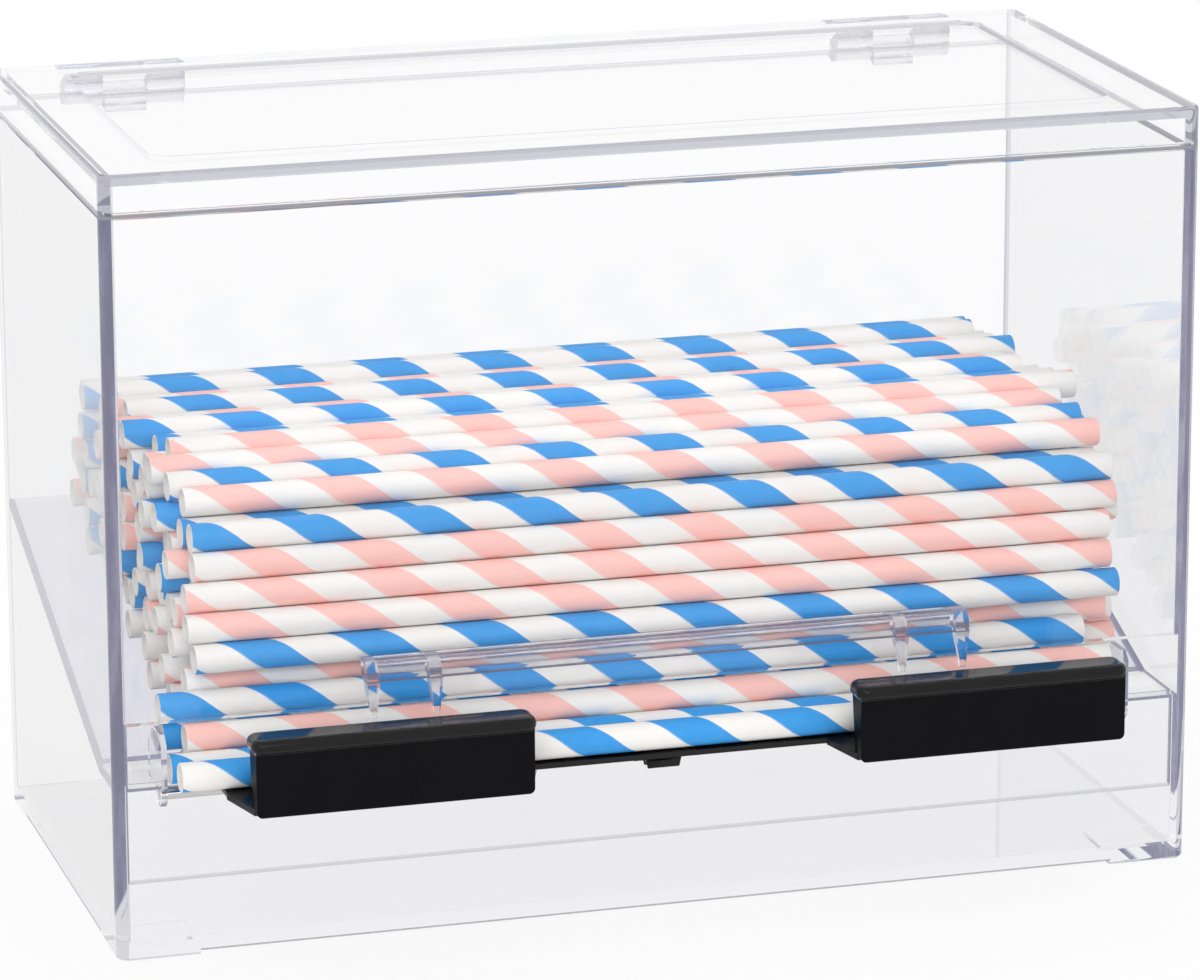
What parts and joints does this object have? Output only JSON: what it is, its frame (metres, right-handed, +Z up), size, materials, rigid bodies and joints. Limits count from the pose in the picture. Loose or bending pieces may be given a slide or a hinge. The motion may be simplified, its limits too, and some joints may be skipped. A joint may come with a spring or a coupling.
{
  "type": "straw dispenser",
  "caption": "Clear counter-top box with a hinged lid, a sloping inner floor holding paper straws, and a sprung black lever that tips straws out of a front slot.",
  "frame": {"origin": "middle of the footprint of the whole dispenser, on the surface it stands on", "axes": "+X to the right seen from the front, the lever faces -Y, +Z up"},
  "size_m": [0.23, 0.1432, 0.162],
  "materials": {
    "clear_plastic": "clear moulded polystyrene",
    "clear_lid": "clear moulded polystyrene",
    "clear_insert": "clear moulded polystyrene",
    "clear_pin": "clear rod",
    "black_gloss": "glossy black",
    "black_satin": "satin black",
    "rod_steel": "bright drawn steel",
    "spring_steel": "plain spring wire",
    "striped_paper": "waxed paper with spiral stripes"
  },
  "bodies": {
    "case": {"case_hinge_lug_left": "clear_plastic", "case_hinge_lug_right": "clear_plastic", "case_shell": "clear_plastic", "front_straw_01": "striped_paper", "front_straw_02": "striped_paper", "front_straw_03": "striped_paper", "front_straw_04": "striped_paper", "front_straw_05": "striped_paper", "front_straw_06": "striped_paper", "front_straw_07": "striped_paper", "front_straw_08": "striped_paper", "front_straw_09": "striped_paper", "front_straw_10": "striped_paper", "guard_bar": "clear_plastic", "hopper_insert": "clear_insert", "pivot_cheek_left": "clear_insert", "pivot_cheek_right": "clear_insert", "pivot_rod": "rod_steel", "return_spring_left": "spring_steel", "return_spring_right": "spring_steel", "straw_row_01": "striped_paper", "straw_row_02": "striped_paper", "straw_row_03": "striped_paper", "straw_row_04": "striped_paper", "straw_row_05": "striped_paper", "straw_row_06": "striped_paper", "straw_row_07": "striped_paper", "straw_row_08": "striped_paper", "straw_row_09": "striped_paper"},
    "lid": {"hinge_pin_left": "clear_pin", "hinge_pin_right": "clear_pin", "lid_hinge_ears_left": "clear_plastic", "lid_hinge_ears_right": "clear_plastic", "lid_shell": "clear_lid"},
    "lever": {"lever_tray": "black_satin", "thumb_pad_left": "black_gloss", "thumb_pad_right": "black_gloss", "tray_straw_front": "striped_paper", "tray_straw_rear": "striped_paper"}
  },
  "joints": [
    {"name": "lid_hinge", "type": "hinge", "parent": "case", "child": "lid", "pos_m": [0, 0.06833, 0.15315], "axis": [-1, 0, 0], "range_deg": [0, 110]},
    {"name": "lever_pivot", "type": "hinge", "parent": "case", "child": "lever", "pos_m": [0, -0.04957, 0.0358], "axis": [1, 0, 0], "range_deg": [0, 12], "stiffness_Nm_per_rad": 0.03, "springref_deg": -30, "deforming": ["return_spring_left", "return_spring_right"]}
  ]
}
